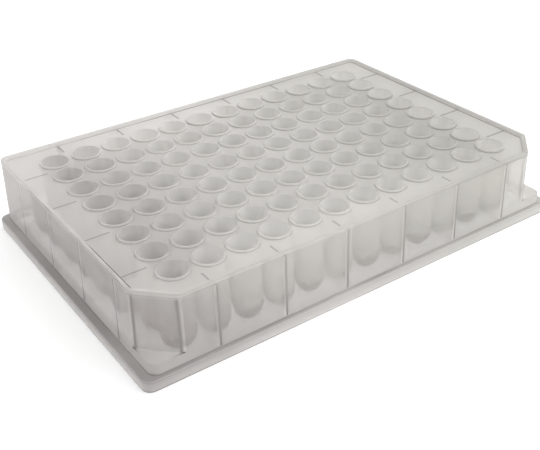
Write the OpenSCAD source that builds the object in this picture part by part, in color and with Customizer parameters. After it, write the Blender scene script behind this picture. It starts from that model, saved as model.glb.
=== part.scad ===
// 96-well plate, moulded in one piece: a skirt with a foot flange, a sunken deck and round-bottomed wells.
// The origin is at the middle of the base, +X along the columns, +Y towards row A and +Z up.

/* [Well array] */
// Number of well columns along X
columns = 12; // [6:1:12]
// Number of well rows along Y
rows = 8; // [4:1:8]
// Distance between the centres of neighbouring wells
pitch = 9; // [9:0.1:12]
// Distance from the end of the foot to the first column of wells
first_column = 14.38; // [13.5:0.01:20]
// Distance from the side of the foot to the first row of wells
first_row = 11.24; // [10.8:0.01:18]

/* [Wells] */
// Diameter of a well just below its mouth
well_d = 7; // [5.5:0.1:7.2]
// How much narrower a well is where its round bottom starts
well_taper = 0.2; // [0.1:0.05:0.5]
// Thickness of a well's wall under the deck
well_wall = 0.45; // [0.4:0.05:0.5]
// Thickness of a well's round bottom
well_floor = 0.6; // [0.4:0.05:1.2]
// Width of the bevel inside a well's mouth
mouth_bevel = 0.22; // [0.1:0.02:0.4]
// Height of the well rims above the deck
rim_h = 0.6; // [0.3:0.05:1]
// Width of a well's rim around its mouth
rim_w = 0.6; // [0.45:0.05:0.8]
// Gap between the lowest point of the wells and the surface that the plate stands on
well_gap = 0.4; // [0.2:0.05:1.5]

/* [Skirt] */
// Height of the whole plate
plate_h = 21; // [16:0.1:30]
// Thickness of the skirt wall
wall_t = 1.3; // [0.9:0.05:1.8]
// How far the skirt wall leans in between the foot and the top
wall_draft = 0.35; // [0.1:0.05:0.8]
// Radius of the skirt's corners
wall_corner_r = 2.8; // [1.9:0.1:4]
// Length cut off each side of the two bevelled corners beside the last row
corner_cut = 7.7; // [5:0.1:9]
// Height of the square ledge under the bevelled corners
ledge_z = 6.1; // [5:0.1:9]
// Thickness of the ledge under the bevelled corners
ledge_t = 1.2; // [0.8:0.1:1.8]

/* [Foot flange] */
// Height of the foot flange
flange_h = 3.05; // [2:0.05:4.5]
// Thickness of the flange's top
flange_top_t = 1.2; // [0.8:0.05:1.8]
// Width of the flange's top outside the skirt wall, at the two ends
flange_end = 2.15; // [1:0.05:3]
// Width of the flange's top outside the skirt wall, at the two sides
flange_side = 0.95; // [0.6:0.05:1.6]
// Radius of the flange's corners
flange_corner_r = 3.5; // [2.2:0.1:5]
// Size of the bevel round the top edge of the flange
flange_bevel = 0.3; // [0.1:0.05:0.5]

/* [Deck] */
// Height of the raised lip above the deck
lip_h = 1.1; // [0.7:0.05:2]
// Width of the raised lip at its top
lip_t = 1.2; // [0.8:0.05:1.6]
// Thickness of the deck
deck_t = 1.2; // [0.8:0.05:2]
// Size of the bevel round the outer top edge of the lip
lip_bevel = 0.25; // [0.1:0.05:0.4]

/* [Ribs] */
// Thickness of the ribs under the deck
rib_t = 0.8; // [0.6:0.05:0.9]
// Height of the lower edge of the ribs
rib_z = 2.6; // [2:0.1:8]
// Number of wells from one rib to the next
rib_step = 2; // [1:1:4]

/* [Hidden] */
// Steps in each rounded corner and in each well's round bottom
corner_steps = 6;
bowl_steps = 4;
// How far a piece reaches into the one that it joins, and a cut past a face
overlap = 0.4;
$fn = 48;

plate_l = (columns - 1) * pitch + 2 * first_column;
plate_w = (rows - 1) * pitch + 2 * first_row;
foot = [plate_l / 2, plate_w / 2];
wall_foot = [foot.x - flange_end, foot.y - flange_side];
wall_top = [wall_foot.x - wall_draft, wall_foot.y - wall_draft];
deck_z = plate_h - lip_h;
deck_under = deck_z - deck_t;
flange_under = flange_h - flange_top_t;
well_r = well_d / 2;
bowl_r = well_r - well_taper;
bowl_z = well_gap + well_floor + bowl_r;
tube_r = well_r + well_wall;
tube_bowl_r = bowl_r + well_wall;
tube_bowl_z = well_gap + tube_bowl_r;
rim_z = deck_z + rim_h;
rim_r = well_r + rim_w;
rim_foot = deck_z - deck_t / 2;

// Half the size of the skirt wall at a height, drawn in by an inset
function wall_half(z, inset = 0) =
    wall_foot - (z - flange_h) / (plate_h - flange_h) * (wall_foot - wall_top) - [inset, inset];

// Points of a rectangle with round corners, as many at every size
function outline(half, r) = [
    for (corner = [0:3], step = [0:corner_steps])
        let (turn = 90 * (corner + step / corner_steps), side = 90 * corner + 45)
            [sign(cos(side)) * (half.x - r) + r * cos(turn),
             sign(sin(side)) * (half.y - r) + r * sin(turn)]
];

// Points of an arc round the Z axis' bottom end, from the lowest point up
function bowl_arc(r, z) = [
    for (step = [0:bowl_steps]) let (turn = 90 * step / bowl_steps) [r * sin(turn), z - r * cos(turn)]
];

// Solid through rings of points, each a pair of a height and an outline
module loft(rings) {
    count = len(rings[0][1]);
    polyhedron(
        points = [for (ring = rings, p = ring[1]) [p.x, p.y, ring[0]]],
        faces = concat(
            [[for (i = [0:count - 1]) i]],
            [for (ring = [0:len(rings) - 2], i = [0:count - 1])
                let (a = ring * count + i, b = ring * count + (i + 1) % count)
                    [a, a + count, b + count, b]],
            [[for (i = [count - 1:-1:0]) (len(rings) - 1) * count + i]]
        )
    );
}

// Everything outside the two bevelled corners, drawn in by an inset, from a height up
module corner_bevels(z, inset = 0) {
    half = wall_half(plate_h);
    reach = 2 * corner_cut;
    for (end = [-1, 1])
        translate([end * (half.x - corner_cut / 2), corner_cut / 2 - half.y, z])
            rotate(end * 45)
                translate([-reach, inset - reach, 0])
                    cube([2 * reach, reach, plate_h]);
}

// Outside of the skirt wall, leaning in, with its two bevelled corners
module wall_outside() {
    bevel = [lip_bevel, lip_bevel];
    difference() {
        loft([
            [flange_under, outline(wall_half(flange_under), wall_corner_r)],
            [plate_h - lip_bevel, outline(wall_half(plate_h - lip_bevel), wall_corner_r)],
            [plate_h, outline(wall_half(plate_h) - bevel, wall_corner_r - lip_bevel)]
        ]);
        corner_bevels(ledge_z);
    }
}

// Hollow under the deck, one wall thickness inside the skirt
module wall_inside() {
    inner_r = wall_corner_r - wall_t;
    difference() {
        loft([
            [flange_under - overlap, outline(wall_half(flange_under - overlap, wall_t), inner_r)],
            [deck_under, outline(wall_half(deck_under, wall_t), inner_r)]
        ]);
        corner_bevels(ledge_z - ledge_t, wall_t);
    }
}

// Recess above the deck, inside the raised lip
module lip_recess() {
    difference() {
        translate([0, 0, deck_z])
            linear_extrude(lip_h + overlap)
                polygon(outline(wall_half(plate_h, lip_t), wall_corner_r - lip_t));
        corner_bevels(ledge_z, lip_t);
    }
}

// Foot flange that the plate stands on, open underneath
module flange() {
    bevel = [flange_bevel, flange_bevel];
    difference() {
        union() {
            linear_extrude(flange_h - flange_bevel) polygon(outline(foot, flange_corner_r));
            loft([
                [flange_h - flange_bevel, outline(foot, flange_corner_r)],
                [flange_h, outline(foot - bevel, flange_corner_r - flange_bevel)]
            ]);
        }
        translate([0, 0, -overlap])
            linear_extrude(flange_under + overlap)
                polygon(outline(foot - [wall_t, wall_t], flange_corner_r - wall_t));
    }
}

// Skirt, flange, lip and deck in one shell
module shell() {
    difference() {
        union() {
            flange();
            wall_outside();
        }
        wall_inside();
        lip_recess();
    }
}

// Ribs between the wells, from one skirt wall to the other
module ribs() {
    h = deck_under + overlap - rib_z;
    reach = wall_half(plate_h) - [wall_t, wall_t] + [overlap, overlap];
    for (column = [1:rib_step:columns - 1])
        translate([(column - columns / 2) * pitch - rib_t / 2, -reach.y, rib_z])
            cube([rib_t, 2 * reach.y, h]);
    for (row = [1:rib_step:rows - 1])
        translate([-reach.x, (row - rows / 2) * pitch - rib_t / 2, rib_z])
            cube([2 * reach.x, rib_t, h]);
}

// Places one copy of what it is given at every well
module at_wells() {
    for (column = [0:columns - 1], row = [0:rows - 1])
        translate([(column - (columns - 1) / 2) * pitch, (row - (rows - 1) / 2) * pitch, 0])
            children();
}

// Outside of one well, with its rim
module well_tube() {
    rotate_extrude()
        polygon(concat(
            bowl_arc(tube_bowl_r, tube_bowl_z),
            [[tube_r, rim_foot], [rim_r, rim_foot], [rim_r, rim_z], [0, rim_z]]
        ));
}

// Inside of one well
module well_hollow() {
    rotate_extrude()
        polygon(concat(
            bowl_arc(bowl_r, bowl_z),
            [[well_r, rim_z - mouth_bevel], [well_r + mouth_bevel, rim_z],
             [well_r + mouth_bevel, rim_z + overlap], [0, rim_z + overlap]]
        ));
}

module well_plate() {
    color([0.80, 0.78, 0.76, 0.85])
        difference() {
            union() {
                shell();
                ribs();
                at_wells() well_tube();
            }
            at_wells() well_hollow();
        }
}

well_plate();
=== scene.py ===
import bmesh
import bpy
from math import copysign, radians
from mathutils import Matrix, Vector


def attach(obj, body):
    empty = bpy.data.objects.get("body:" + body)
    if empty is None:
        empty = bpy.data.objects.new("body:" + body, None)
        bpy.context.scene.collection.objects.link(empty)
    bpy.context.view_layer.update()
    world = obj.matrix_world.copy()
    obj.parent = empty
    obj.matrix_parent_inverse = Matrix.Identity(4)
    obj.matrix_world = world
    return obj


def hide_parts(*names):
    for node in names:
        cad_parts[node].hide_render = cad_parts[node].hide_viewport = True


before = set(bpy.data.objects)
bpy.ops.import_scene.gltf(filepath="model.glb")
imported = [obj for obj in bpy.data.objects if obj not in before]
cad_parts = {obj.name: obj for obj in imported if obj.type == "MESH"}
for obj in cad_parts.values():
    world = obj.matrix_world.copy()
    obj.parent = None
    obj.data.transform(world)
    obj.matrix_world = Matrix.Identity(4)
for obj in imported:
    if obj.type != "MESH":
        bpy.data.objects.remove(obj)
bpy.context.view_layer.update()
print("frame loaded")


camera = {
    "place": (-0.11974, -0.17081, 0.12626),
    "lookAt": (-0.00622, -0.01202, 0.0105),
    "roll": -0.75,      # degrees
    "lens": 57.7,
    "shiftX": -0.0233,
    "shiftY": -0.028,
    "clipStart": 0.01,
}


def addCamera():
    data = bpy.data.cameras.new("camera")
    data.lens = camera["lens"]
    data.shift_x, data.shift_y = camera["shiftX"], camera["shiftY"]
    data.clip_start = camera["clipStart"]
    holder = bpy.data.objects.new("camera", data)
    place = Vector(camera["place"])
    ahead = Vector(camera["lookAt"]) - place
    turn = ahead.to_track_quat("-Z", "Y").to_matrix()
    turn = turn @ Matrix.Rotation(radians(camera["roll"]), 3, "Z")
    holder.matrix_world = Matrix.Translation(place) @ turn.to_4x4()
    bpy.context.scene.collection.objects.link(holder)
    bpy.context.scene.camera = holder


addCamera()
print("camera placed")


class Wire:
    # One output in a node tree. + - * on it add Math nodes.
    def __init__(self, tree, socket=None):
        self.tree, self.socket = tree, socket

    def node(self, kind, settings, sockets, output=0):
        made = self.tree.nodes.new("ShaderNode" + kind)
        for name, value in settings.items():
            setattr(made, name, value)
        for name, value in sockets.items():
            if isinstance(value, Wire):
                self.tree.links.new(value.socket, made.inputs[name])
            else:
                made.inputs[name].default_value = value
        return Wire(self.tree, made.outputs[output] if made.outputs else None)

    def maths(self, operation, first, second=0.0):
        return self.node("Math", {"operation": operation}, {0: first, 1: second})

    def __add__(self, other):
        return self.maths("ADD", self, other)

    def __sub__(self, other):
        return self.maths("SUBTRACT", self, other)

    def __rsub__(self, other):
        return self.maths("SUBTRACT", other, self)

    def __mul__(self, other):
        return self.maths("MULTIPLY", self, other)

    __radd__ = __add__
    __rmul__ = __mul__


def newMaterial(name):
    made = bpy.data.materials.new(name)
    made.use_nodes = True
    made.node_tree.nodes.clear()
    return made, Wire(made.node_tree)


def spread(wire, value, low, high, outLow=0.0, outHigh=1.0):
    # Turns low..high of a value into outLow..outHigh, held inside them
    return wire.node("MapRange", {"clamp": True}, {
        "Value": value, "From Min": low, "From Max": high, "To Min": outLow, "To Max": outHigh})


def blend(wire, amount, first, second):
    return wire.node("Mix", {"data_type": "RGBA"}, {0: amount, 6: first, 7: second}, 2)


# Lengths are metres. A line is a band of painted shade (place, half width, softness, depth of its
# shade), and a depth under 0 makes it a band of painted highlight. A pair named ...At, ...Across or
# ...Along is where its effect starts and where it is full.
sidePlastic = {             # walls and flange
    # the plastic's own tint, and darker than the deck's: painted shade on the walls
    "colour": (0.78, 0.755, 0.735, 1),
    "pinkShadeColour": (0.32, 0.272, 0.28, 1),       # painted shade, pinkish, towards the first column
    "oliveColour": (0.75, 0.745, 0.70, 1),      # towards the last column
    "lowShadeColour": (0.26, 0.235, 0.233, 1),       # painted shade near the foot of the walls
    "paintedShadeColour": (0.22, 0.20, 0.19, 1),        # painted shade in the dark lines
    "paintedHighlightColour": (0.95, 0.94, 0.92, 1),       # painted highlight in the light lines
    "glowColour": (0.90, 0.885, 0.865, 1),      # of light scattered through the haze
    "throughColour": (0.94, 0.93, 0.915, 1),    # of what is seen through the plastic
    "gloss": 0.22,          # roughness of the surface
    "glossClouds": 0.05,    # and how much the clouds add to it
    "index": 1.49,
    "coat": 0.6,
    "coatRough": 0.12,
    "milk": 0.5,            # share of the haze that lets light through
    "bendIndex": 1.12,      # how much the walls bend and blur what is seen through them
    "bendRough": 0.14,
    "clear": 0.66,          # how far the thin walls are seen through
    "clearDark": 0.05,      # and how far in the painted lines
    "clearPinkShade": -0.3,      # added to it at the end with the painted pink shade
    "clearFoot": -0.2,      # and in the flange
    "clearLow": -0.17,      # and towards the foot of the walls
    "clearNear": 0.0,       # and towards the corner between the first column and the last row
    "clearFar": -0.22,      # and towards the last column and row A
    "farShade": 0.0,        # share of the painted shade colour there
    "footAt": (0.0034, 0.003),
    "lowAt": (0.0095, 0.0045),
    "nearAt": (0.03, -0.08),
    "farAcross": (-0.045, 0.04),
    "farAlong": (0.05, 0.06),       # past row A's wall, so that it stays clear
    "lowInFoot": 0.6,       # share of the painted low shade left out in the flange
    "lowAtFar": 0.75,       # and towards the last column
    "pinkShadeAt": (0.005, -0.04),
    "oliveAt": (0.0, 0.06),
    "wander": 0.05,         # how far the clouds move the end with the painted pink shade, and the olive end
    "lines": [              # painted shade by height: in the creases over and under the flange's edge, and along the floor
        (0.0032, 0.0003, 0.0002, 0.9),
        (0.0026, 0.0002, 0.0001, 0.5),
        (0.0, 0.0008, 0.0006, 0.8),
    ],
    "lineClouds": (0.3, 0.6, 0.6, 1.0),     # clouds from, to, and the shares they leave
    "ribGap": 0.018,
    # painted shade and painted highlight where the ribs behind the walls show through the skin
    "ribs": [(0.0005, 0.0004, 0.0002, 0.8), (-0.0001, 0.0004, 0.0002, -0.25)],
    "ribFrom": 0.0036,
    "ribTo": 0.01995,
    "ribInside": (0.0535, 0.036),   # hidden by the wells within this
    "bends": (0.0537, 0.0337),      # edges of the bevelled corners
    # painted shade and painted highlight along the edges of the bevelled corners
    "bendLines": [(0.0004, 0.0003, 0.00015, 0.7), (-0.0003, 0.0004, 0.0002, -0.35)],
    "bendFrom": 0.0062,
    "endWall": 0.058,       # past this a face is one of the two end walls
    "lipLines": [],
    "cloudScale": 38.0,
    "cloudDetail": 3.0,
    "driftScale": 17.1,
    "driftDetail": 2.0,
    "grainScale": 2600.0,
    "grainDetail": 2.0,
    "grainDepth": 0.00002,
    "grainStrength": 0.35,
}
deckPlastic = {
    **sidePlastic,
    # lighter than the walls': the plastic's own tint and painted light on the top
    "colour": (0.95, 0.935, 0.915, 1),
    "oliveColour": (0.64, 0.64, 0.605, 1),
    "oliveAt": (0.03, 0.075),
    "gloss": 0.32,
    "index": 1.32,
    "coat": 0.1,
    "bendRough": 0.22,
    "clear": 0.26,
    "clearPinkShade": 0.0,
    "clearFoot": 0.0,
    "clearLow": 0.0,
    "clearNear": 0.3,
    "clearFar": -0.1,
    "farAcross": (0.03, 0.053),
    "farAlong": (0.012, 0.033),
    "farShade": 0.13,
    "pinkShadeColour": (0.92, 0.895, 0.88, 1),
    "paintedShadeColour": (0.06, 0.05, 0.045, 1),
    "lines": [(0.02009, 0.00016, 0.0001, 0.7)],         # painted shade in the folds round the foot of the lip and the rims
    # painted shade where the ribs under the deck show through
    "ribs": [(0.0, 0.0004, 0.0002, 0.65)],
    "bendLines": [],
    "lipLines": [(-0.0602, 0.0003, 0.0001, 1.0)],       # painted shadow in the gap inside the lip beside the first column
    "lipFrom": (-0.007, -0.014),    # fades in and out along the plate
    "lipTo": (-0.0337, -0.0327),
}
insidePlastic = {
    **sidePlastic,
    "colour": (0.99, 0.985, 0.97, 1),
    "pinkShadeColour": (0.99, 0.965, 0.96, 1),
    "oliveColour": (0.985, 0.985, 0.96, 1),
    "glowColour": (0.99, 0.985, 0.975, 1),
    "throughColour": (1, 1, 1, 1),
    "bendIndex": 1.03,
    "bendRough": 0.05,
    "clear": 0.78,
    "clearPinkShade": 0.0,
    "clearFoot": 0.0,
    "clearLow": 0.0,
    "clearFar": 0.0,
    "farAcross": (0.03, 0.053),
    "lines": [],
    "ribs": [],
    "bendLines": [],
}
wellPlastic = {
    **insidePlastic,
    "pinkShadeColour": (0.58, 0.56, 0.555, 1),
    "pinkShadeAt": (-0.006, -0.024),
    "clear": 0.34,
    "clearFar": -0.26,
    "farAlong": (0.02, 0.034),
    "farShade": 0.15,
}
tubePlastic = {             # the round ends under the wells, with painted shade in their bowls
    **wellPlastic,
    "pinkShadeColour": (0.90, 0.87, 0.865, 1),
    "milk": 0.9,
    "clear": 0.55,
    "paintedShadeColour": (0.15, 0.12, 0.12, 1),
    # painted shade filling the bowls
    "lines": [(0.0, 0.0056, 0.0014, 1.0)],
}


def makePlastic(name, plastic):
    made, wire = newMaterial(name)
    place = wire.node("TexCoord", {}, {}, "Object")
    across, along, height = (wire.node("SeparateXYZ", {}, {0: place}, axis) for axis in "XYZ")
    sizeX, sizeY = wire.maths("ABSOLUTE", across), wire.maths("ABSOLUTE", along)
    clouds, drift, grain = (
        wire.node("TexNoise", {}, {"Vector": place, "Scale": plastic[kind + "Scale"],
                                   "Detail": plastic[kind + "Detail"]})
        for kind in ("cloud", "drift", "grain"))

    # painted shade and painted highlight lines: in the folds, where the ribs meet the skin, and at
    # the bevelled corners
    masks = {"paintedShade": 0.0, "paintedHighlight": 0.0}

    def above(value, least):
        return wire.maths("GREATER_THAN", value, least)

    def addLine(way, line, where):
        at, wide, soft, shade = line
        away = wire.maths("ABSOLUTE", way - at)
        band = spread(wire, away, wide, wide - soft, 0.0, abs(shade)) * where
        tone = "paintedShade" if shade > 0 else "paintedHighlight"
        masks[tone] = wire.maths("MAXIMUM", masks[tone], band)

    patchy = spread(wire, clouds, *plastic["lineClouds"])
    for line in plastic["lines"]:
        addLine(height, line, patchy)
    if plastic["ribs"]:
        insideX, insideY = plastic["ribInside"]
        outside = wire.maths("MAXIMUM", above(sizeX, insideX), above(sizeY, insideY))
        outside = outside * above(height, plastic["ribFrom"])
        outside = outside * wire.maths("LESS_THAN", height, plastic["ribTo"])
        half = plastic["ribGap"] / 2
        for way in (across, along):
            for at, wide, soft, shade in plastic["ribs"]:
                line = (half, wide, soft, shade)
                addLine(wire.maths("PINGPONG", way - at, half), line, outside)
    if plastic["bendLines"]:
        bendX, bendY = plastic["bends"]
        front = above(height, plastic["bendFrom"]) * wire.maths("LESS_THAN", along, 0.0)
        ends = front * above(sizeX, plastic["endWall"])
        for at, wide, soft, shade in plastic["bendLines"]:
            for way, bend, where in ((across, bendX, front), (-1 * across, bendX, front),
                                     (-1 * along, bendY, ends)):
                addLine(way, (bend + at, wide, soft, shade), where)
    for line in plastic["lipLines"]:
        shown = spread(wire, along, *plastic["lipFrom"]) * spread(wire, along, *plastic["lipTo"])
        addLine(across, line, shown)
    paintedShade, paintedHighlight = masks["paintedShade"], masks["paintedHighlight"]

    # where the tone changes over the plate, with painted shade towards the first column, the foot
    # of the walls and the far side
    far = wire.maths("MAXIMUM", spread(wire, across, *plastic["farAcross"]),
                     spread(wire, along, *plastic["farAlong"]))
    near = spread(wire, across + along, *plastic["nearAt"])
    foot = spread(wire, height, *plastic["footAt"])
    # painted shade, darker towards the foot of the walls
    low = 0.0
    if plastic["clearLow"]:
        low = spread(wire, height, *plastic["lowAt"]) * (1 - plastic["lowInFoot"] * foot)
    # painted shade: a darker pinkish tone towards the first column
    pinkShade = spread(wire, across + clouds * plastic["wander"], *plastic["pinkShadeAt"])
    olive = spread(wire, across + drift * plastic["wander"], *plastic["oliveAt"])

    colour = blend(wire, pinkShade, plastic["colour"], plastic["pinkShadeColour"])
    colour = blend(wire, olive, colour, plastic["oliveColour"])
    colour = blend(wire, low * (1 - plastic["lowAtFar"] * far), colour, plastic["lowShadeColour"])
    colour = blend(wire, far * plastic["farShade"], colour, plastic["paintedShadeColour"])
    colour = blend(wire, paintedHighlight, colour, plastic["paintedHighlightColour"])
    colour = blend(wire, paintedShade, colour, plastic["paintedShadeColour"])
    bump = wire.node("Bump", {}, {"Strength": plastic["grainStrength"],
                                  "Distance": plastic["grainDepth"], "Height": grain})
    haze = wire.node("BsdfPrincipled", {}, {
        "Base Color": colour, "Roughness": plastic["gloss"] + clouds * plastic["glossClouds"],
        "IOR": plastic["index"], "Normal": bump,
        "Coat Weight": plastic["coat"], "Coat Roughness": plastic["coatRough"]})
    glow = wire.node("BsdfTranslucent", {}, {"Color": plastic["glowColour"], "Normal": bump})
    milk = wire.node("MixShader", {}, {0: plastic["milk"] * (1 - paintedShade), 1: haze, 2: glow})
    through = wire.node("BsdfRefraction", {}, {
        "Color": plastic["throughColour"], "Normal": bump,
        "Roughness": plastic["bendRough"], "IOR": plastic["bendIndex"]})
    clear = plastic["clear"] + wire.maths("MAXIMUM", paintedShade, paintedHighlight) * (
        plastic["clearDark"] - plastic["clear"])
    for amount, where in (("clearPinkShade", pinkShade), ("clearFoot", foot), ("clearLow", low),
                          ("clearNear", near), ("clearFar", far)):
        clear = clear + where * plastic[amount]
    whole = wire.node("MixShader", {}, {0: clear, 1: milk, 2: through})
    wire.node("OutputMaterial", {}, {"Surface": whole})
    return made


plate = {
    # millimetres
    "columns": 12,
    "rows": 8,
    "pitch": 9.0,
    "halfX": 61.38,         # wall outline at the top
    "halfY": 41.44,
    "cornerRound": 2.45,
    "cornerSteps": 6,
    "cornerCut": 7.7,
    "cutSoften": 0.65,
    "softenSteps": 3,
    "cutParts": 14,         # edges along a cut corner
    "deckTop": 19.9,
    "deckThick": 1.2,
    "lipTop": 21.0,
    "lipWide": 1.2,
    "wallLean": 0.35,
    "ledgeTop": 6.1,
    "ledgeThick": 1.2,
    "ribWide": 0.8,
    "ribFoot": 2.6,
    "ribEvery": 2,
    "flangeTop": 3.05,
    "flangeThick": 1.2,
    "flangeEnd": 2.15,
    "flangeSide": 0.95,
    "lipBevel": 0.25,
    "flangeBevel": 0.3,
    "fillet": 0.3,          # at the foot of the lip and over the ledge
    "footRound": 0.2,
    "bevelSteps": 3,
    "smallSteps": 2,        # over the ledge and at the floor
    "beyondWells": 0.5,     # past the outermost well cells by this, a point is on a wall
    "creaseAngle": 30,      # degrees; sharper edges than this are rounded
    "shadeAngle": 35,       # and sharper ones than this keep a hard shade
}
metresPerMillimetre = 0.001
same, weld, cutNear = 0.01, 0.001, 0.0001   # millimetres within which points count as one
outerLine, innerLine = 1, 2                 # marks on points
ringFace, ribFace, cellFace = 1, 2, 3       # marks on faces
sideSkin, deckSkin, insideSkin, wellSkin, tubeSkin = range(5)       # order of the materials


def tell(label, bm):
    openEdges = sum(not e.is_manifold for e in bm.edges)
    print(label, len(bm.faces), "faces,", openEdges, "open edges")


def linesOf(count):
    # Where the lines between wells, or the middles of count + 1 wells, lie along one side
    return [(step - count / 2) * plate["pitch"] for step in range(count + 1)]


def cutAlong(bm, faces, normal, places):
    # Cuts the given faces by planes, and gives back all the faces that come of it
    for place in places:
        around = {v for f in faces for v in f.verts} | {e for f in faces for e in f.edges}
        cut = bmesh.ops.bisect_plane(bm, geom=list(around) + list(faces), dist=cutNear,
                                     plane_co=Vector(normal) * place, plane_no=normal)
        faces = [g for g in cut["geom"] if isinstance(g, bmesh.types.BMFace)]
    return faces


def roundPoints(bm, verts, size, segments):
    bmesh.ops.bevel(bm, geom=verts, offset=size, segments=segments, profile=0.5,
                    affect="VERTICES", material=-1)


def slants(bm):
    # The two edges cut across the corners beside the last row
    long = plate["cornerCut"] / 2
    return [e for e in bm.edges
            if all(abs(a - b) > long for a, b in zip(e.verts[0].co.xy, e.verts[1].co.xy))]


def makeSheet(bm):
    # Flat outline at the underside of the deck, cut into one cell for each well
    halfX, halfY = plate["halfX"], plate["halfY"]
    place = Matrix.Translation((0, 0, plate["deckTop"] - plate["deckThick"]))
    bmesh.ops.create_grid(bm, x_segments=1, y_segments=1, size=1,
                          matrix=place @ Matrix.Diagonal((halfX, halfY, 1, 1)))
    roundPoints(bm, [v for v in bm.verts if v.co.y > 0],
                plate["cornerRound"], plate["cornerSteps"])
    roundPoints(bm, [v for v in bm.verts if v.co.y < same - halfY], plate["cornerCut"], 1)
    roundPoints(bm, [v for e in slants(bm) for v in e.verts],
                plate["cutSoften"], plate["softenSteps"])
    bmesh.ops.bisect_edges(bm, edges=slants(bm), cuts=plate["cutParts"] - 1)
    columnLines, rowLines = linesOf(plate["columns"]), linesOf(plate["rows"])
    faces = cutAlong(bm, bm.faces[:], (1, 0, 0), columnLines)
    cutAlong(bm, faces, (0, 1, 0), rowLines)

    kind = bm.faces.layers.int.new("kind")
    line = bm.verts.layers.int.new("line")
    ring = bmesh.ops.inset_region(bm, faces=bm.faces[:], thickness=plate["lipWide"], depth=0,
                                  use_even_offset=True, use_boundary=True)["faces"]
    for f in ring:
        f[kind] = ringFace
        for v in f.verts:
            v[line] = outerLine if v.is_boundary else innerLine
    for f in bm.faces:
        middle = f.calc_center_median()
        overWells = abs(middle.x) < columnLines[-1] and abs(middle.y) < rowLines[-1]
        if overWells and f[kind] != ringFace:
            f[kind] = cellFace
    return kind, line


def points(faces):
    return list({v for f in faces for v in f.verts})


def drawOn(bm, faces):
    # Extrudes faces that stay where they are until their points are moved
    made = bmesh.ops.extrude_face_region(bm, geom=faces)["geom"]
    bmesh.ops.delete(bm, geom=faces, context="FACES")
    return [g for g in made if isinstance(g, bmesh.types.BMFace)]


def pushOut(verts, stepX, stepY):
    # Moves the four sides out whole, and the corners along with them
    lastX = plate["columns"] * plate["pitch"] / 2 + plate["beyondWells"]
    lastY = plate["rows"] * plate["pitch"] / 2 + plate["beyondWells"]
    for v in verts:
        if abs(v.co.x) > lastX:
            v.co.x += copysign(stepX, v.co.x)
        if abs(v.co.y) > lastY:
            v.co.y += copysign(stepY, v.co.y)


def squareUp(verts, inset):
    # Fills the cut corners out to round ones
    low = min(v.co.y for v in verts)
    wide = max(v.co.x for v in verts)
    bend = plate["cornerRound"] - inset
    for v in verts:
        short = min(wide - abs(v.co.x), v.co.y - low)
        if v.co.y > 0 or short <= 0:
            continue
        corner = Vector((wide - bend, low + bend))
        at = Vector((abs(v.co.x) + short, v.co.y - short))
        over = Vector((max(at.x - corner.x, 0), min(at.y - corner.y, 0)))
        if over.length > bend:
            at -= over * (1 - bend / over.length)
        v.co.x, v.co.y = copysign(at.x, v.co.x), at.y


def creases(bm, height, sides):
    # Edges at a height where two faces meet at an angle, on the outer or inner line
    line = bm.verts.layers.int["line"]
    return [e for e in bm.edges
            if all(abs(v.co.z - height) < same and v[line] in sides for v in e.verts)
            and e.calc_face_angle(0) > radians(plate["creaseAngle"])]


def roundEdges(bm, edges, size, segments):
    bmesh.ops.bevel(bm, geom=edges, offset=size, segments=segments, profile=0.5,
                    affect="EDGES", material=-1)


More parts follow.
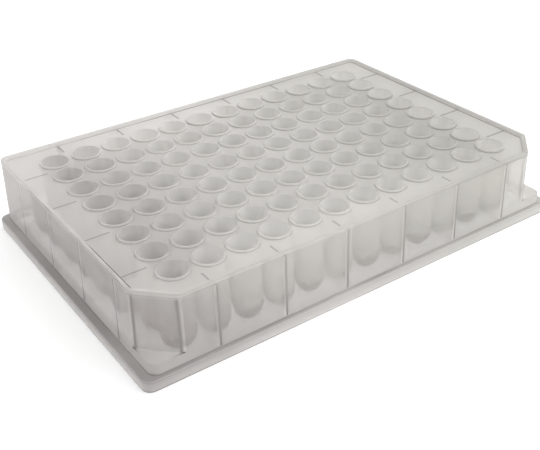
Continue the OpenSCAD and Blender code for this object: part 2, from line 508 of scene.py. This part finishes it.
def makeShell(bm):
    kind, line = makeSheet(bm)
    under = plate["deckTop"] - plate["deckThick"]
    sheet = bm.faces[:]

    # deck, then the lip round it
    made = bmesh.ops.extrude_face_region(bm, geom=sheet)["geom"]
    top = [g for g in made if isinstance(g, bmesh.types.BMFace)]
    for v in points(top):
        v.co.z = plate["deckTop"]
    lip = drawOn(bm, [f for f in top if f[kind] == ringFace])
    for v in points(lip):
        v.co.z = plate["lipTop"]

    # ribs and wall under the deck
    half = plate["ribWide"] / 2
    ribX, ribY = (linesOf(plate[name])[1::plate["ribEvery"]] for name in ("columns", "rows"))
    sheet = cutAlong(bm, sheet, (1, 0, 0), [x + side for x in ribX for side in (-half, half)])
    sheet = cutAlong(bm, sheet, (0, 1, 0), [y + side for y in ribY for side in (-half, half)])
    for f in sheet:
        middle = f.calc_center_median()
        onRib = (any(abs(middle.x - x) < half for x in ribX)
                 or any(abs(middle.y - y) < half for y in ribY))
        if onRib and f[kind] != ringFace:
            f[kind] = ribFace

    def lower(faces, outerZ, innerZ, outerStep, innerStep):
        # Takes the outer line to one height and place and everything else to another
        made = drawOn(bm, faces)
        for v in points(made):
            v.co.z = outerZ if v[line] == outerLine else innerZ
        pushOut([v for v in points(made) if v[line] == outerLine], *outerStep)
        pushOut([v for v in points(made) if v[line] == innerLine], *innerStep)
        return made

    upper = plate["wallLean"] * (under - plate["ledgeTop"]) / (under - plate["flangeTop"])
    upperLean, lowerLean = (upper, upper), (plate["wallLean"] - upper, plate["wallLean"] - upper)
    still = (0, 0)
    ledgeUnder = plate["ledgeTop"] - plate["ledgeThick"]
    flangeUnder = plate["flangeTop"] - plate["flangeThick"]
    flange = (plate["flangeEnd"], plate["flangeSide"])
    wall = lower([f for f in sheet if f[kind] in (ringFace, ribFace)],
                 plate["ledgeTop"], ledgeUnder, upperLean, upperLean)
    wall = drawOn(bm, wall)
    squareUp([v for v in points(wall) if v[line] == outerLine], 0)
    squareUp([v for v in points(wall) if v[line] == innerLine], plate["lipWide"])
    wall = lower(wall, plate["flangeTop"], plate["ribFoot"], lowerLean, lowerLean)
    foot = lower([f for f in wall if f[kind] == ringFace],
                 plate["flangeTop"], flangeUnder, flange, still)
    foot = lower(foot, 0, flangeUnder, still, flange)
    lower(foot, 0, 0, still, still)
    bmesh.ops.remove_doubles(bm, verts=bm.verts[:], dist=weld)
    bmesh.ops.dissolve_degenerate(bm, edges=bm.edges[:], dist=weld)
    bmesh.ops.recalc_face_normals(bm, faces=bm.faces[:])
    for f in bm.faces:
        onTop = all(v.co.z > plate["deckTop"] - same for v in f.verts)
        outside = all(v[line] == outerLine for v in f.verts)
        f.material_index = deckSkin if onTop else sideSkin if outside else insideSkin
    tell("shell", bm)
    return kind


well = {
    "segments": 28,
    "mouthRadius": 3.5,
    "bowlRadius": 3.3,
    "floorTop": 1.0,
    "tubeRadius": 3.95,
    "tubeBowlRadius": 3.75,
    "floorUnder": 0.4,
    "rimRadius": 4.1,
    "rimTop": 20.5,
    "footFillet": 0.12,
    "rimRound": 0.15,
    "mouthRound": 0.22,
    "mouthSteps": 2,
    "bowlRound": 0.999,     # share of the bowl's radius that is rounded
    "bowlSteps": 6,
    "rimMargin": 0.1,       # past the mouth by this, a face belongs to the rim
    "weld": 0.02,           # closes the poles
}


def spinProfile(corners, skin):
    # Turns a line of (radius, height, rounding, steps) corners right round
    bm = bmesh.new()
    verts = [bm.verts.new((corner[0], 0, corner[1])) for corner in corners]
    for a, b in zip(verts, verts[1:]):
        bm.edges.new((a, b))
    for v, corner in zip(verts, corners):
        if corner[2]:
            roundPoints(bm, [v], *corner[2:])
    bmesh.ops.spin(bm, geom=bm.verts[:] + bm.edges[:], cent=(0, 0, 0), axis=(0, 0, 1),
                   angle=radians(360), steps=well["segments"],
                   use_merge=True, use_duplicate=False)
    bmesh.ops.remove_doubles(bm, verts=bm.verts[:], dist=well["weld"])
    for f in bm.faces:
        middle = f.calc_center_median()
        onRim = (middle.xy.length > well["mouthRadius"] + well["rimMargin"]
                 and middle.z > plate["deckTop"] - same)
        f.material_index = deckSkin if onRim else skin
    mesh = bpy.data.meshes.new("well")
    bm.to_mesh(mesh)
    bm.free()
    return mesh


def wellMeshes():
    deckTop, under = plate["deckTop"], plate["deckTop"] - plate["deckThick"]
    bowl, tubeBowl = well["bowlRadius"], well["tubeBowlRadius"]
    inside = spinProfile([
        (well["rimRadius"] + well["footFillet"], deckTop, 0, 0),
        (well["rimRadius"], deckTop + well["footFillet"], 0, 0),
        (well["rimRadius"], well["rimTop"], well["rimRound"], well["mouthSteps"]),
        (well["mouthRadius"], well["rimTop"], well["mouthRound"], well["mouthSteps"]),
        (bowl, well["floorTop"], bowl * well["bowlRound"], well["bowlSteps"]),
        (0, well["floorTop"], 0, 0),
    ], wellSkin)
    outside = spinProfile([
        (well["tubeRadius"], under, 0, 0),
        (tubeBowl, well["floorUnder"], tubeBowl * well["bowlRound"], well["bowlSteps"]),
        (0, well["floorUnder"], 0, 0),
    ], tubeSkin)
    return inside, outside


def openCell(bm, face, radius):
    # Swaps one well's patch of the deck for a patch with a round hole
    middle = face.calc_center_bounds()
    edges = face.edges[:]
    skin = face.material_index
    columns, rows = (linesOf(plate[name] - 1) for name in ("columns", "rows"))
    centre = Vector((min(columns, key=lambda x: abs(x - middle.x)),
                     min(rows, key=lambda y: abs(y - middle.y)), 0))
    bmesh.ops.delete(bm, geom=[face], context="FACES_ONLY")
    place = Matrix.Translation((centre.x, centre.y, middle.z))
    circle = bmesh.ops.create_circle(bm, segments=well["segments"], radius=radius, matrix=place)
    edges += {e for v in circle["verts"] for e in v.link_edges}
    made = bmesh.ops.triangle_fill(bm, edges=edges, use_beauty=True, use_dissolve=False,
                                   normal=(0, 0, 1))
    for g in made["geom"]:
        if isinstance(g, bmesh.types.BMFace):
            g.material_index = skin
    return centre


def addWells(bm, kind):
    deckTop, under = plate["deckTop"], plate["deckTop"] - plate["deckThick"]
    inside, outside = wellMeshes()
    for height, radius, mesh in ((deckTop, well["rimRadius"] + well["footFillet"], inside),
                                 (under, well["tubeRadius"], outside)):
        cells = [f for f in bm.faces if f[kind] == cellFace
                 and all(abs(v.co.z - height) < same for v in f.verts)]
        print(len(cells), "cells at", height)
        for cell in cells:
            place = Matrix.Translation(openCell(bm, cell, radius))
            mesh.transform(place)
            bm.from_mesh(mesh)
            mesh.transform(place.inverted())
    bmesh.ops.remove_doubles(bm, verts=bm.verts[:], dist=weld)


def makePlate():
    bm = bmesh.new()
    kind = makeShell(bm)
    many, few = plate["bevelSteps"], plate["smallSteps"]
    for height, lines, size, steps in (
            (plate["lipTop"], (outerLine, innerLine), plate["lipBevel"], many),
            (plate["deckTop"], (innerLine,), plate["fillet"], many),
            (plate["ledgeTop"], (outerLine,), plate["fillet"], few),
            (plate["flangeTop"], (outerLine,), plate["flangeBevel"], many),
            (0, (outerLine,), plate["footRound"], few)):
        roundEdges(bm, creases(bm, height, lines), size, steps)
    tell("rounded", bm)
    addWells(bm, kind)
    bmesh.ops.recalc_face_normals(bm, faces=bm.faces[:])
    tell("wells", bm)
    bmesh.ops.scale(bm, vec=[metresPerMillimetre] * 3, verts=bm.verts[:])
    for f in bm.faces:
        f.smooth = True
    for e in bm.edges:
        e.smooth = e.calc_face_angle(0) < radians(plate["shadeAngle"])
    mesh = bpy.data.meshes.new("wellPlate")
    bm.to_mesh(mesh)
    bm.free()
    for name, plastic in (
            ("milkySide", sidePlastic), ("milkyDeck", deckPlastic), ("clearInside", insidePlastic),
            ("clearWell", wellPlastic), ("clearTube", tubePlastic)):
        mesh.materials.append(makePlastic(name, plastic))
    piece = bpy.data.objects.new("wellPlate", mesh)
    bpy.context.scene.collection.objects.link(piece)
    evenOut = piece.modifiers.new("evenShading", "WEIGHTED_NORMAL")
    evenOut.keep_sharp = True
    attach(piece, "root")
    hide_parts("well_plate")


makePlate()
print("plate made")


stage = {
    "floorWide": 4.0,
    "floorColour": (0.75, 0.75, 0.75, 1),
    "floorLift": 0.45,              # glow added to the floor where it is seen directly
    "skyForObject": (0.35, 1.6),    # strength from the left and from the right
    "bounces": 24,
    "lamps": [  # place, size, power
        ((0.42, -0.3, 0.5), 0.45, 0.8),
        ((0.25, 0.5, 0.22), 0.2, 0.1),
    ],
}


def seenDirectly(wire):
    # 1 for the camera's own rays and for those that glossy or clear surfaces send on
    first, glossy, clear = (wire.node("LightPath", {}, {}, name)
                            for name in ("Is Camera Ray", "Is Glossy Ray", "Is Transmission Ray"))
    return wire.maths("MAXIMUM", wire.maths("MAXIMUM", first, glossy), clear)


def addFloor():
    bm = bmesh.new()
    bmesh.ops.create_grid(bm, x_segments=1, y_segments=1, size=stage["floorWide"] / 2)
    mesh = bpy.data.meshes.new("floor")
    bm.to_mesh(mesh)
    bm.free()
    made, wire = newMaterial("paleFloor")
    plain = wire.node("BsdfDiffuse", {}, {"Color": stage["floorColour"]})
    shine = wire.node("Emission", {}, {"Strength": seenDirectly(wire) * stage["floorLift"]})
    whole = wire.node("AddShader", {}, {0: plain, 1: shine})
    wire.node("OutputMaterial", {}, {"Surface": whole})
    mesh.materials.append(made)
    floor = bpy.data.objects.new("floor", mesh)
    bpy.context.scene.collection.objects.link(floor)


def addSky():
    sky = bpy.data.worlds.new("sky")
    sky.use_nodes = True
    sky.node_tree.nodes.clear()
    wire = Wire(sky.node_tree)
    ahead = wire.node("TexCoord", {}, {}, "Generated")
    across = wire.node("SeparateXYZ", {}, {0: ahead}, "X")
    lit = spread(wire, across, -1, 1, *stage["skyForObject"])
    strength = lit + seenDirectly(wire) * (1 - lit)
    whole = wire.node("Background", {}, {"Color": (1, 1, 1, 1), "Strength": strength})
    wire.node("OutputWorld", {}, {"Surface": whole})
    bpy.context.scene.world = sky


def addLamps():
    for place, size, power in stage["lamps"]:
        data = bpy.data.lights.new("softbox", "AREA")
        data.size, data.energy = size, power
        lamp = bpy.data.objects.new("softbox", data)
        lamp.location = place
        lamp.rotation_euler = (-Vector(place)).to_track_quat("-Z", "Y").to_euler()
        bpy.context.scene.collection.objects.link(lamp)


addFloor()
addSky()
addLamps()
print("stage set")

bpy.context.scene.view_settings.view_transform = "Standard"
for bounce in ("max_bounces", "diffuse_bounces", "transmission_bounces", "transparent_max_bounces"):
    setattr(bpy.context.scene.cycles, bounce, stage["bounces"])
